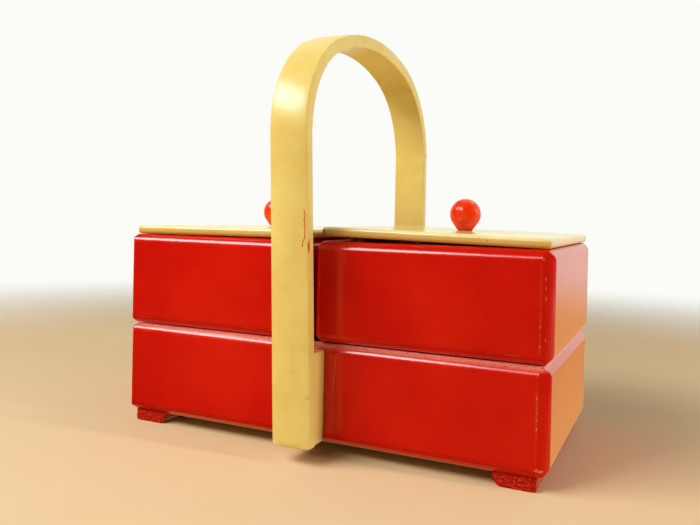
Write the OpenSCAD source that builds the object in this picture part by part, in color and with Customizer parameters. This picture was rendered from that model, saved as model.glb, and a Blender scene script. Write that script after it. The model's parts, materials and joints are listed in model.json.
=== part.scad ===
// Sewing carrier: a long lower box under two swivelling trays, each tray with
// a loose lid, and a bentwood bow handle that stands off the box on spacers.
// Millimetres, +Z up, +X to the right, +Y to the back.
// The origin is on the floor, under the middle of the carrier.

/* [Lower box] */
// Outside length of the lower box
box_len = 360; // [320:1:420]
// Outside depth of the lower box and of both trays
box_depth = 191; // [170:1:230]
// Height of the lower box's walls
box_h = 76.1; // [60:0.1:100]
// Thickness of every upright board
wall_t = 10; // [9:0.5:14]
// Thickness of the three plywood floors
floor_t = 5; // [4:0.5:7]
// How far each floor is let into the boards round it
floor_rebate = 3; // [2:0.5:3.5]
// Flat bevel on the upright corners of the carrier's right end, along each face
right_corner_bevel = 8; // [4:0.5:8.5]
// Flat bevel on all the other upright corners of the box and trays, along each face
corner_bevel = 4.5; // [2:0.5:8.5]
// Flat bevel on the level edges of the box and trays, along each face
edge_bevel = 5; // [2:0.5:5.5]
// Flat bevel round the underside of the lower box, along each face
foot_bevel = 6; // [2:0.5:6.5]

/* [Runners] */
// Height of the two wooden runners that the carrier stands on
runner_h = 9.5; // [8:0.5:16]
// Width of a runner
runner_w = 30; // [20:1:36]
// Distance from the box's right end to the right runner's outer face
right_runner_inset = 8; // [6:1:20]
// Distance from the box's left end to the left runner's outer face
left_runner_inset = 6; // [6:1:20]
// Distance from the box's front and back faces to the runner's sawn ends
runner_end_inset = 5; // [5:1:12]
// Radius on the runner's inner lower edge
runner_round = 7; // [3:0.5:8]
// Shank diameter of the runner screws
runner_screw_d = 3.5; // [3:0.5:4]
// How far a runner screw stops above the floor
runner_screw_clear = 3; // [2:0.5:5]
// Distance from the middle screw of a runner to its outer ones
runner_screw_pitch = 65; // [40:1:70]

/* [Trays] */
// How much shorter a tray is than half the lower box
tray_short = 1.8; // [0:0.1:4]
// Height of a tray
tray_h = 77.3; // [60:0.1:100]
// Gap between the lower box's rim and the trays over it
tray_rise = 0.7; // [0.5:0.1:1.5]
// Distance from the middle of the carrier to the right tray's inner face
right_tray_in = 2.8; // [1:0.1:4]
// Distance from the middle of the carrier to the left tray's inner face
left_tray_in = 2.4; // [0.8:0.1:4]

/* [Tray pivots] */
// Gap between a handle leg and the face of a tray that is swung square to the box
swing_clear = 2; // [1:0.5:4]
// Diameter of the pivot screw's plain shank
pivot_d = 6; // [5:0.5:8]
// Diameter of the pivot screw's domed head
pivot_head_d = 11; // [9:0.5:12]
// Height of the pivot screw's domed head
pivot_head_h = 3.3; // [2.5:0.1:4]
// Depth of the pivot screw in its post
pivot_grip = 38; // [25:1:50]
// Width of a post or pivot block along the length
post_w = 24; // [20:1:26]
// Depth of a post or pivot block from the board that it is glued to
post_d = 20; // [17:1:26]
// Outside diameter of the pivot washers
washer_d = 12; // [10:0.5:13]
// Gap between a pivot washer and the board beside it
washer_room = 0.5; // [0.3:0.1:1]
// Thickness of the washer between a post and its tray
low_washer_t = 0.5; // [0.3:0.1:0.6]
// Thickness of the washer under the left pivot's head
head_washer_t = 0.6; // [0.4:0.1:2]

/* [Lids] */
// Thickness of a lid
lid_t = 7.2; // [5:0.1:8]
// Distance from a tray's faces to its lid's edges, when the lid lies in the middle
lid_inset = 3.5; // [2:0.5:6]
// How far the right lid lies to the right of the middle of its tray
right_lid_shift = 0.5; // [-2:0.1:2.5]
// How far the left lid lies to the right of the middle of its tray
left_lid_shift = 2.4; // [-2:0.1:2.5]
// Flat bevel on the lids' upright corners
lid_corner_bevel = 1; // [0.5:0.5:5]
// Flat bevel that stands for the rounding of the lids' edges
lid_edge_bevel = 2.5; // [0.5:0.5:3]
// Slope, in degrees, of the right lid, which rides on its pivot's head
right_lid_tilt = 1.2; // [0.8:0.05:1.3]
// Slope, in degrees, of the left lid, which rides on its pivot's head
left_lid_tilt = 0.3; // [0.15:0.05:0.5]
// Width of the battens under a lid
batten_w = 11; // [8:0.5:12]
// Thickness of the battens under a lid
batten_t = 6; // [4:0.5:8]
// Side play between a lid's battens and its tray
batten_play = 3.2; // [2.8:0.1:4]

/* [Knobs] */
// Diameter of a knob's ball
knob_d = 25.5; // [20:0.5:32]
// Height of a knob above its lid
knob_h = 26.5; // [22:0.5:34]
// Diameter of the flat foot that a knob stands on
knob_foot_d = 12; // [10:0.5:16]
// Shank diameter of a knob's screw
knob_screw_d = 4; // [3:0.5:5]
// Depth of a knob's screw in the knob
knob_screw_grip = 14; // [10:1:18]

/* [Handle] */
// Width of the bentwood strip
strip_w = 31.5; // [24:0.5:34]
// Thickness of the strip in the middle of its crowned outer face
strip_t = 11.3; // [9:0.1:14]
// How much thinner the strip is at its edges
strip_crown = 2.2; // [1:0.1:3]
// Thickness of the spacer between the strip and the box
spacer_t = 18.5; // [17:0.5:24]
// Width of a spacer
spacer_w = 26; // [20:0.5:28]
// Height of a spacer
spacer_h = 69.6; // [50:0.1:72]
// Height of the spacers' lower ends above the floor
spacer_foot = 11.4; // [10:0.1:14]
// Bevel on a spacer's top edges
spacer_bevel = 1.5; // [0.5:0.5:3]
// Height of the strip's lower ends above the floor
handle_foot = 13; // [11:0.5:20]
// Height at which the legs begin to bend
spring_z = 240.5; // [220:0.5:260]
// Height of the top of the bow
handle_top = 338.5; // [320:0.5:360]
// Outer radius of the two side bends
bend_r = 92; // [75:1:95]
// Sideways lean of the front leg, in degrees
front_lean = 1.9; // [0:0.1:2]
// Sideways lean of the back leg, in degrees
back_lean = 0.2; // [0:0.1:1]
// Height about which the legs lean
lean_z = 45; // [30:1:60]
// Shank diameter of the handle's screws
handle_screw_d = 4.5; // [3.5:0.5:6]
// Depth of the handle's screws in the strip
handle_screw_grip = 7; // [5:0.5:7.5]
// Height of the lower handle screws above the floor
handle_screw_z = 32; // [25:1:40]
// Distance from the lower to the upper handle screws
handle_screw_pitch = 32; // [20:1:36]

/* [Fits] */
// Gap at rest between a loose piece and what it sits on
rest_gap = 0.3; // [0.2:0.05:0.4]
// Radial clearance of the pivot shanks in their trays
run_clear = 0.08; // [0.03:0.01:0.1]
// Clearance of what is glued or screwed in place
glue_gap = 0.05; // [0:0.01:0.1]

/* [Hidden] */

red = [0.80, 0.07, 0.02];
cream = [0.91, 0.80, 0.48];
orange = [0.90, 0.22, 0.03];
bare = [0.84, 0.70, 0.50];
steel = [0.70, 0.70, 0.72];

round_fn = 64;
tray_len = box_len / 2 - tray_short;
half_depth = box_depth / 2;
inner_half = half_depth - wall_t;
box_top = runner_h + box_h;
tray_z = box_top + tray_rise;
tray_top = tray_z + tray_h;
// The pivot is as near to the tray's face as its washer allows, and far enough in
// for the tray to stand square beside the handle leg
pivot_inset = wall_t + washer_room + washer_d / 2;
pivot_x = strip_w / 2 + swing_clear + pivot_inset;
pivot_y = half_depth - pivot_inset;
block_z = tray_z + floor_t;
knob_ball_r = knob_d / 2;
screw_head_h = 2.6;
lid_len = tray_len - 2 * lid_inset;
lid_depth = box_depth - 2 * lid_inset;
leg_out = half_depth + spacer_t + strip_t;
leg_in = leg_out - strip_t;

// Shapes that repeat

// A block with flat bevels on its upright corners and on its level edges.
// corners has the bevels at the low and the high end, edges those below and above.
module bevelled_block(len, dep, h, corners, edges) {
    intersection() {
        linear_extrude(h)
            bevelled_outline(len, dep, [corners[0], corners[1], corners[1], corners[0]]);
        translate([0, dep, 0]) rotate([90, 0, 0]) linear_extrude(dep)
            bevelled_outline(len, h, [edges[0], edges[0], edges[1], edges[1]]);
        rotate([90, 0, 90]) linear_extrude(len)
            bevelled_outline(dep, h, [edges[0], edges[0], edges[1], edges[1]]);
    }
}

// A rectangle with its four corners cut off, anticlockwise from the origin
module bevelled_outline(a, b, cut) {
    polygon([[cut[0], 0], [a - cut[1], 0], [a, cut[1]], [a, b - cut[2]],
             [a - cut[2], b], [cut[3], b], [0, b - cut[3]], [0, cut[0]]]);
}

// Floor panel of a box, to be taken out of its boards with a little room
module floor_panel(len, dep, room) {
    reach = wall_t - floor_rebate - room;
    translate([reach, reach, -room])
        cube([len - 2 * reach, dep - 2 * reach, floor_t + 2 * room]);
}

// One board of a box: part is "near", "far", "low" or "high", along Y and along X
module box_board(len, dep, h, part, corners, edges) {
    difference() {
        intersection() {
            bevelled_block(len, dep, h, corners, edges);
            if (part == "near") cube([len, wall_t, h]);
            if (part == "far") translate([0, dep - wall_t, 0]) cube([len, wall_t, h]);
            if (part == "low") translate([0, wall_t, 0]) cube([wall_t, dep - 2 * wall_t, h]);
            if (part == "high")
                translate([len - wall_t, wall_t, 0]) cube([wall_t, dep - 2 * wall_t, h]);
        }
        floor_panel(len, dep, glue_gap);
    }
}

// Countersunk wood screw, head up, its flat top at the origin
module wood_screw(d, length) {
    head_r = d;
    rotate_extrude($fn = round_fn) polygon([
        [0, 0], [head_r, 0], [head_r, -0.4], [d / 2, -screw_head_h],
        [d / 2, d - length], [0, -length]]);
}

// Hole for that screw
module screw_hole(d, length) {
    head_r = d + glue_gap;
    rotate_extrude($fn = round_fn) polygon([
        [0, 1], [head_r, 1], [head_r, -0.4 - glue_gap],
        [d / 2 + glue_gap, -screw_head_h - glue_gap],
        [d / 2 + glue_gap, d - length - glue_gap], [0, -length - 2 * glue_gap]]);
}

// The lower box

module box_place() {
    translate([-box_len / 2, -half_depth, runner_h]) children();
}

module base_board(part) {
    color(red) difference() {
        box_place() box_board(box_len, box_depth, box_h, part,
            [corner_bevel, right_corner_bevel], [foot_bevel, edge_bevel]);
        if (part == "near" || part == "far") handle_screw_holes();
    }
}

module base_front_board() { base_board("near"); }
module base_back_board() { base_board("far"); }
module base_left_end() { base_board("low"); }
module base_right_end() { base_board("high"); }

module base_floor() {
    color(bare) difference() {
        box_place() floor_panel(box_len, box_depth, 0);
        runner_screw_places() screw_hole(runner_screw_d, runner_screw_len);
    }
}

// Runners

runner_screw_len = floor_t + runner_h - runner_screw_clear;

function runner_inset(side) = side > 0 ? right_runner_inset : left_runner_inset;
function runner_mid(side) = box_len / 2 - runner_inset(side) - runner_w / 2;

module runner_screw_places(sides = [-1, 1]) {
    for (s = sides, k = [-1, 0, 1])
        translate([s * runner_mid(s), k * runner_screw_pitch, runner_h + floor_t]) children();
}

module runner(side) {
    length = box_depth - 2 * runner_end_inset;
    color(red) difference() {
        mirror([side < 0 ? 1 : 0, 0, 0])
            translate([runner_mid(side), length / 2, 0]) rotate([90, 0, 0]) linear_extrude(length)
                difference() {
                    translate([-runner_w / 2, 0]) square([runner_w, runner_h]);
                    translate([-runner_w / 2, 0]) difference() {
                        translate([-1, -1]) square(runner_round + 1);
                        translate([runner_round, runner_round])
                            circle(runner_round, $fn = round_fn);
                    }
                }
        runner_screw_places([side]) screw_hole(runner_screw_d, runner_screw_len);
    }
}

module left_runner() { runner(-1); }
module right_runner() { runner(1); }

module runner_screws() {
    color(steel) runner_screw_places() wood_screw(runner_screw_d, runner_screw_len);
}

// Handle

// The bow's outer line is a leg, a side bend, a flatter top and the same again
rise = handle_top - spring_z;
bend_y = leg_out - bend_r;
top_r = (bend_y * bend_y + rise * rise - bend_r * bend_r) / (2 * (rise - bend_r));
top_half = atan2(bend_y, top_r - rise);
bend_steps = 14;
top_steps = 5;

// Stations along half the bow: [y, z, angle of the outward normal above level]
half_bow = concat(
    [[leg_out, handle_foot, 0]],
    [for (i = [0:bend_steps])
        let (a = i * (90 - top_half) / bend_steps)
        [bend_y + bend_r * cos(a), spring_z + bend_r * sin(a), a]],
    [for (i = [1:top_steps])
        let (a = 90 - top_half + i * top_half / top_steps)
        [top_r * cos(a), handle_top - top_r + top_r * sin(a), a]]);
last_half = len(half_bow) - 1;
bow = concat(
    [for (s = half_bow) [-s[0], s[1], 180 - s[2]]],
    [for (i = [1:last_half]) half_bow[last_half - i]]);

// The strip's section: [across, inward from the outer line]
section = [[-0.5, 1], [0.5, 1], [0.5, 0], [0.34, -0.66], [0.13, -1], [-0.13, -1],
           [-0.34, -0.66], [-0.5, 0]];
function section_across(p) = p[0] * strip_w;
function section_in(p) = p[1] > 0 ? strip_t : strip_crown * (1 + p[1]);

// How far sideways the strip has moved at a height, from front leg to back leg
function lean_at(y) = front_lean + (back_lean - front_lean) * (y + leg_out) / (2 * leg_out);
function sway(y, z) = -(z - lean_z) * tan(lean_at(y));

bow_points = [for (s = bow, p = section)
    let (d = section_in(p))
    [section_across(p) + sway(s[0], s[1]), s[0] - d * cos(s[2]), s[1] - d * sin(s[2])]];
ring = len(section);
rings = len(bow);
bow_faces = concat(
    [[for (k = [0:ring - 1]) k]],
    [[for (k = [0:ring - 1]) rings * ring - 1 - k]],
    [for (i = [0:rings - 2], k = [0:ring - 1])
        let (a = i * ring + k, b = i * ring + (k + 1) % ring)
        [a, a + ring, b + ring]],
    [for (i = [0:rings - 2], k = [0:ring - 1])
        let (a = i * ring + k, b = i * ring + (k + 1) % ring)
        [a, b + ring, b]]);

module handle_bow() {
    color(cream) difference() {
        polyhedron(bow_points, bow_faces, convexity = 6);
        handle_screw_holes();
    }
}

handle_screw_len = wall_t + spacer_t + handle_screw_grip;

module handle_screw_places() {
    for (turn = [0, 180], k = [0, 1])
        rotate([0, 0, turn])
            translate([0, -inner_half, handle_screw_z + k * handle_screw_pitch])
                rotate([-90, 0, 0]) children();
}

module handle_screws() {
    color(steel) handle_screw_places() wood_screw(handle_screw_d, handle_screw_len);
}

module handle_screw_holes() {
    handle_screw_places() screw_hole(handle_screw_d, handle_screw_len);
}

module spacer_block(turn) {
    color(cream) difference() {
        rotate([0, 0, turn]) translate([-spacer_w / 2, -half_depth - spacer_t, spacer_foot])
            rotate([90, 0, 90]) linear_extrude(spacer_w) polygon([
                [glue_gap, 0], [spacer_t - glue_gap, 0],
                [spacer_t - glue_gap, spacer_h - spacer_bevel],
                [spacer_t - spacer_bevel, spacer_h], [glue_gap, spacer_h]]);
        handle_screw_holes();
    }
}

module front_spacer_block() { spacer_block(0); }
module back_spacer_block() { spacer_block(180); }

// Pivots. The right tray turns on the front post and the left tray on the back one:
// the left half is the right half turned half round.

module side_turn(side) {
    rotate([0, 0, side > 0 ? 0 : 180]) children();
}

function tray_in(side) = side > 0 ? right_tray_in : left_tray_in;
function lid_tilt(side) = side > 0 ? right_lid_tilt : left_lid_tilt;
function lid_shift(side) = side > 0 ? right_lid_shift : -left_lid_shift;
function lid_out(side) = tray_in(side) + tray_len - lid_inset + lid_shift(side);
// Height of a lid's underside over its pivot, which is what the pivot's head carries
function lid_under(side) = tray_top + rest_gap + (lid_out(side) - pivot_x) * tan(lid_tilt(side));
function head_z(side) = lid_under(side) - rest_gap - pivot_head_h;
washer_z = head_z(-1) - head_washer_t;
block_top = washer_z - rest_gap;

module at_pivot(side, z) {
    side_turn(side) translate([pivot_x, -pivot_y, z]) children();
}

module pivot_post(side) {
    post_z = runner_h + floor_t + glue_gap;
    color(bare) difference() {
        side_turn(side) translate([pivot_x - post_w / 2, -inner_half + glue_gap, post_z])
            cube([post_w, post_d, box_top - post_z]);
        at_pivot(side, box_top - pivot_grip)
            cylinder(d = pivot_d + 2 * glue_gap, h = pivot_grip + 1, $fn = round_fn);
    }
}

module front_pivot_post() { pivot_post(1); }
module back_pivot_post() { pivot_post(-1); }

// Steel screw with a plain shank and a domed head
module pivot_screw(side) {
    foot = box_top - pivot_grip + glue_gap;
    dome_r = (pivot_head_d * pivot_head_d / 4 + pivot_head_h * pivot_head_h) / (2 * pivot_head_h);
    color(steel) {
        at_pivot(side, foot) cylinder(d = pivot_d, h = head_z(side) - foot + 0.5, $fn = round_fn);
        at_pivot(side, head_z(side)) intersection() {
            cylinder(d = pivot_head_d, h = pivot_head_h, $fn = round_fn);
            translate([0, 0, pivot_head_h - dome_r]) sphere(dome_r, $fn = round_fn);
        }
    }
}

module right_pivot_screw() { pivot_screw(1); }
module left_pivot_screw() { pivot_screw(-1); }

module washer(t) {
    difference() {
        cylinder(d = washer_d, h = t, $fn = round_fn);
        translate([0, 0, -1]) cylinder(d = pivot_d + 2 * run_clear, h = t + 2, $fn = round_fn);
    }
}

module pivot_washers() {
    color(steel) for (side = [1, -1]) {
        at_pivot(side, box_top) washer(low_washer_t);
        at_pivot(side, washer_z) washer(head_z(side) - washer_z);
    }
}

// Trays

module pivot_bore(side) {
    at_pivot(side, tray_z - 1)
        cylinder(d = pivot_d + 2 * run_clear, h = tray_h + 2, $fn = round_fn);
}

module tray_place(side) {
    side_turn(side) translate([tray_in(side), -half_depth, tray_z]) children();
}

module tray_board(side, part) {
    outer = side > 0 ? right_corner_bevel : corner_bevel;
    color(red) tray_place(side) box_board(tray_len, box_depth, tray_h, part,
        [corner_bevel, outer], [edge_bevel, edge_bevel]);
}

module tray_floor(side) {
    color(bare) difference() {
        tray_place(side) floor_panel(tray_len, box_depth, 0);
        pivot_bore(side);
    }
}

module pivot_block(side) {
    first = tray_in(side) + wall_t + glue_gap;
    color(bare) difference() {
        side_turn(side) translate([first, -inner_half + glue_gap, block_z + glue_gap])
            cube([pivot_x + post_w / 2 - first, post_d, block_top - block_z - glue_gap]);
        pivot_bore(side);
    }
}

module right_tray_front_board() { tray_board(1, "near"); }
module right_tray_back_board() { tray_board(1, "far"); }
module right_tray_inner_end() { tray_board(1, "low"); }
module right_tray_outer_end() { tray_board(1, "high"); }
module right_tray_floor() { tray_floor(1); }
module right_pivot_block() { pivot_block(1); }

module left_tray_front_board() { tray_board(-1, "far"); }
module left_tray_back_board() { tray_board(-1, "near"); }
module left_tray_inner_end() { tray_board(-1, "low"); }
module left_tray_outer_end() { tray_board(-1, "high"); }
module left_tray_floor() { tray_floor(-1); }
module left_pivot_block() { pivot_block(-1); }

// Lids. A lid is drawn flat, its outer lower edge on the origin, and then tilted.

module lid_place(side) {
    side_turn(side) translate([lid_out(side), 0, tray_top + rest_gap])
        rotate([0, lid_tilt(side), 0]) children();
}

module lid_panel(side) {
    color(cream) lid_place(side) difference() {
        translate([-lid_len, -lid_depth / 2, 0])
            bevelled_block(lid_len, lid_depth, lid_t, [lid_corner_bevel, lid_corner_bevel],
                [lid_edge_bevel, lid_edge_bevel]);
        knob_screw_place() screw_hole(knob_screw_d, knob_screw_len);
    }
}

// The inner batten stops short of the pivot block
module lid_battens(side) {
    play = wall_t - lid_inset + batten_play;
    half = inner_half - batten_play;
    short = inner_half - post_d - batten_play;
    color(bare) lid_place(side) {
        translate([-play - batten_w, -half, -batten_t]) cube([batten_w, 2 * half, batten_t - glue_gap]);
        translate([play - lid_len, -short, -batten_t])
            cube([batten_w, half + short, batten_t - glue_gap]);
    }
}

// Knobs

knob_screw_len = lid_t + knob_screw_grip;

// From below, at the middle of the lid
module knob_screw_place() {
    translate([-lid_len / 2, 0, 0]) rotate([180, 0, 0]) children();
}

// A ball whose lower side runs straight down to a small foot
module knob(side) {
    centre = knob_h - knob_ball_r;
    foot_r = knob_foot_d / 2;
    reach = sqrt(centre * centre + foot_r * foot_r);
    touch = atan2(foot_r, centre) + acos(knob_ball_r / reach);
    ball_steps = 24;
    profile = concat(
        [[0, 0], [foot_r, 0]],
        [for (i = [0:ball_steps])
            let (a = touch + i * (180 - touch) / ball_steps)
            [knob_ball_r * sin(a), centre - knob_ball_r * cos(a)]]);
    color(orange) lid_place(side) difference() {
        translate([-lid_len / 2, 0, lid_t + glue_gap])
            rotate_extrude($fn = round_fn) polygon(profile);
        knob_screw_place() screw_hole(knob_screw_d, knob_screw_len);
    }
}

module knob_screw(side) {
    color(steel) lid_place(side) knob_screw_place() wood_screw(knob_screw_d, knob_screw_len);
}

module left_lid_panel() { lid_panel(-1); }
module left_lid_battens() { lid_battens(-1); }
module left_knob() { knob(-1); }
module left_knob_screw() { knob_screw(-1); }
module right_lid_panel() { lid_panel(1); }
module right_lid_battens() { lid_battens(1); }
module right_knob() { knob(1); }
module right_knob_screw() { knob_screw(1); }

base_front_board();
base_back_board();
base_left_end();
base_right_end();
base_floor();
left_runner();
right_runner();
runner_screws();
front_spacer_block();
back_spacer_block();
handle_bow();
handle_screws();
front_pivot_post();
back_pivot_post();
right_pivot_screw();
left_pivot_screw();
pivot_washers();
left_tray_front_board();
left_tray_back_board();
left_tray_outer_end();
left_tray_inner_end();
left_tray_floor();
left_pivot_block();
right_tray_front_board();
right_tray_back_board();
right_tray_outer_end();
right_tray_inner_end();
right_tray_floor();
right_pivot_block();
left_lid_panel();
left_lid_battens();
left_knob();
left_knob_screw();
right_lid_panel();
right_lid_battens();
right_knob();
right_knob_screw();
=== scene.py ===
import json
import math
from collections import namedtuple

import bmesh
import bpy
from mathutils import Matrix, Vector, noise

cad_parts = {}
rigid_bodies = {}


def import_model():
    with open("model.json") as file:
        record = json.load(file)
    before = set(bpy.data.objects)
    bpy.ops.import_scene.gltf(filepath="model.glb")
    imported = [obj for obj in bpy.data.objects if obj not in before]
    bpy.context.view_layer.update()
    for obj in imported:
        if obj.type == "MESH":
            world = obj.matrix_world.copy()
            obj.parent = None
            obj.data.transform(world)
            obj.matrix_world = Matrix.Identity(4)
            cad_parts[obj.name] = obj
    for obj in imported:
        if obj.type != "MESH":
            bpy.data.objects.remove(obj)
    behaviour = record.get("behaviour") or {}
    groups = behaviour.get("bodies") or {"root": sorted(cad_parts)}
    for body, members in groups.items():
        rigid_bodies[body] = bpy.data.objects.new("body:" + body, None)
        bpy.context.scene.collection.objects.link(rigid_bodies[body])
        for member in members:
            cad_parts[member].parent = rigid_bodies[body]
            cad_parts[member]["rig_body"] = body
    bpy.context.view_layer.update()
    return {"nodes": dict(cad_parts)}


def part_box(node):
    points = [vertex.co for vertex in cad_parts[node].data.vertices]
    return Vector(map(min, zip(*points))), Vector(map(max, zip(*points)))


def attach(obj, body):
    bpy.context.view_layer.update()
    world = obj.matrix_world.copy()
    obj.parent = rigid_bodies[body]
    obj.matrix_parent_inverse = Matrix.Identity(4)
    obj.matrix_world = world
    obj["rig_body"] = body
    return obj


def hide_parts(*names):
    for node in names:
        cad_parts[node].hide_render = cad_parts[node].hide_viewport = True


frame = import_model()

scene = bpy.context.scene
NODES = frame["nodes"]
MM = 0.001

# Camera, fitted to the photograph
CAMERA_AT = (0.255898, -0.566767, 0.1835)
CAMERA_AZIMUTH = 25.394
CAMERA_PITCH = 0.634
CAMERA_ROLL = 1.239
CAMERA_LENS = 35.99
CAMERA_SHIFT_Y = -0.0561

# Sizes repeated from part.scad
CORNER_BEVEL = 4.5
RIGHT_CORNER_BEVEL = 8
EDGE_BEVEL = 5
FOOT_BEVEL = 6
STRIP_W = 31.5 * MM
STRIP_T = 11.3 * MM
SPRING_Z = 240.5 * MM
BEND_R = 92 * MM
FRONT_LEAN = 1.9
BACK_LEAN = 0.2
LEAN_Z = 45 * MM
KNOB_D = 25.5 * MM
KNOB_H = 26.5 * MM
KNOB_FOOT_D = 12 * MM
LID_T = 7.2 * MM
LID_INSET = 3.5 * MM
RIGHT_LID_SHIFT = 0.5 * MM
LEFT_LID_SHIFT = 2.4 * MM
RIGHT_LID_TILT = 1.2
LEFT_LID_TILT = 0.3
REST_GAP = 0.3 * MM
RUNNER_ROUND = 7 * MM

# A bevelled box: its lowest and highest corner in metres, and its flat bevels in mm, on the
# upright corners of its left and right end and round its underside and rim
Shell = namedtuple("Shell", "low high left right below above")


# Materials

class Nodes:
    """Short ways to make nodes in one node tree."""

    def __init__(self, tree):
        self.tree = tree

    def node(self, kind, **settings):
        made = self.tree.nodes.new(kind)
        for key, value in settings.items():
            setattr(made, key, value)
        return made

    def feed(self, socket, value):
        if isinstance(value, bpy.types.NodeSocket):
            self.tree.links.new(value, socket)
        else:
            socket.default_value = value

    def split(self, vector):
        made = self.node("ShaderNodeSeparateXYZ")
        self.feed(made.inputs[0], vector)
        return made.outputs

    def vector_math(self, operation, a, b=(0, 0, 0)):
        made = self.node("ShaderNodeVectorMath", operation=operation)
        self.feed(made.inputs[0], a)
        self.feed(made.inputs[1], b)
        return made

    def math(self, operation, a, b=0.0):
        made = self.node("ShaderNodeMath", operation=operation)
        self.feed(made.inputs[0], a)
        self.feed(made.inputs[1], b)
        return made.outputs[0]

    def ramp(self, value, low, high, at_low=0.0, at_high=1.0):
        """at_low at low and at_high at high, smooth between; low may be above high."""
        made = self.node("ShaderNodeMapRange", interpolation_type="SMOOTHSTEP")
        self.feed(made.inputs["Value"], value)
        self.feed(made.inputs["From Min"], low)
        self.feed(made.inputs["From Max"], high)
        self.feed(made.inputs["To Min"], at_low)
        self.feed(made.inputs["To Max"], at_high)
        return made.outputs["Result"]

    def mix(self, share, a, b):
        """Colour a where share is 0 and colour b where it is 1."""
        made = self.node("ShaderNodeMix", data_type="RGBA")
        self.feed(made.inputs["Factor"], share)
        self.feed(made.inputs["A"], a if isinstance(a, bpy.types.NodeSocket) else (*a, 1))
        self.feed(made.inputs["B"], b if isinstance(b, bpy.types.NodeSocket) else (*b, 1))
        return made.outputs["Result"]


class Paint(Nodes):
    """The nodes of one material. Lengths in it are millimetres."""

    def __init__(self, name):
        self.material = bpy.data.materials.new(name)
        self.material.use_nodes = True
        super().__init__(self.material.node_tree)
        self.bsdf = self.tree.nodes["Principled BSDF"]
        place = self.node("ShaderNodeTexCoord").outputs["Object"]
        self.place = self.scaled(place, (1000, 1000, 1000))
        self.x, self.y, self.z = self.split(self.place)

    def scaled(self, vector, factors):
        return self.vector_math("MULTIPLY", vector, factors).outputs[0]

    def facing_up(self):
        """How far the surface faces up: 1 on top, 0 on a side, -1 below."""
        return self.split(self.node("ShaderNodeNewGeometry").outputs["Normal"])[2]

    def chain(self, operation, values):
        total = values[0]
        for value in values[1:]:
            total = self.math(operation, total, value)
        return total

    def add(self, *values):
        return self.chain("ADD", values)

    def times(self, *values):
        return self.chain("MULTIPLY", values)

    def least(self, *values):
        return self.chain("MINIMUM", values)

    def most(self, *values):
        return self.chain("MAXIMUM", values)

    def sub(self, a, b):
        return self.math("SUBTRACT", a, b)

    def length(self, a, b):
        return self.math("SQRT", self.add(self.times(a, a), self.times(b, b)))

    def noise(self, size, detail=2.0, rough=0.5, stretch=(1, 1, 1), shift=0.0):
        """Noise whose blotches are about size mm across, longer along an axis that is stretched."""
        vector = self.scaled(self.place, [1 / (size * s) for s in stretch])
        if shift:
            vector = self.vector_math(
                "ADD", vector, (shift, shift * 1.7, shift * 2.3)).outputs[0]
        made = self.node("ShaderNodeTexNoise")
        self.feed(made.inputs["Vector"], vector)
        made.inputs["Scale"].default_value = 1.0
        made.inputs["Detail"].default_value = detail
        made.inputs["Roughness"].default_value = rough
        return made.outputs["Fac"]

    def specks(self, size, share, shift=0.0, radius=0.16):
        """Small round dots, one in some of the cells of size mm, from 0 to 1."""
        made = self.node("ShaderNodeTexVoronoi")
        vector = self.scaled(self.place, (1 / size,) * 3)
        moved = self.vector_math("ADD", vector, (shift, shift, shift))
        self.feed(made.inputs["Vector"], moved.outputs[0])
        made.inputs["Scale"].default_value = 1.0
        dot = self.ramp(made.outputs["Distance"], radius, radius * 0.5)
        split = self.node("ShaderNodeSeparateColor")
        self.feed(split.inputs[0], made.outputs["Color"])
        chosen = self.ramp(split.outputs[0], 1 - share, 1 - share + 0.01)
        return self.times(dot, chosen)

    def near(self, point, radius):
        """1 at a point in mm, falling to 0 at radius."""
        far = self.vector_math("DISTANCE", self.place, point).outputs["Value"]
        return self.ramp(far, radius, 0.0)

    def dash(self, point, long, wide, grit):
        """A ragged upright dash round a point, half of it long mm high and wide mm wide."""
        moved = self.vector_math("SUBTRACT", self.place, point).outputs[0]
        shrunk = self.scaled(moved, (1 / wide, 1 / wide, 1 / long))
        far = self.vector_math("LENGTH", shrunk).outputs["Value"]
        ragged = self.add(far, self.times(self.sub(grit, 0.5), 2.4))
        return self.ramp(ragged, 1.0, 0.75)

    def along(self, value, low, high, stops):
        """A curve through stops, given as (value, height from 0 to 1), between low and high."""
        made = self.node("ShaderNodeFloatCurve")
        share = self.times(self.sub(value, low), 1 / (high - low))
        self.feed(made.inputs["Value"], share)
        curve = made.mapping.curves[0]
        places = [((v - low) / (high - low), h) for v, h in stops]
        curve.points[0].location = places[0]
        curve.points[1].location = places[-1]
        for place in places[1:-1]:
            curve.points.new(*place)
        for point in curve.points:
            point.handle_type = "VECTOR"
        made.mapping.update()
        return made.outputs[0]

    def finish(self, colour, height, roughness, metallic=0.0, specular=0.5):
        """Height is in mm."""
        self.feed(self.bsdf.inputs["Base Color"], colour)
        self.feed(self.bsdf.inputs["Roughness"], roughness)
        self.bsdf.inputs["Metallic"].default_value = metallic
        self.bsdf.inputs["Specular IOR Level"].default_value = specular
        made = self.node("ShaderNodeBump")
        made.inputs["Strength"].default_value = 1.0
        made.inputs["Distance"].default_value = MM
        self.feed(made.inputs["Height"], height)
        self.feed(self.bsdf.inputs["Normal"], made.outputs["Normal"])
        return self.material


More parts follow.
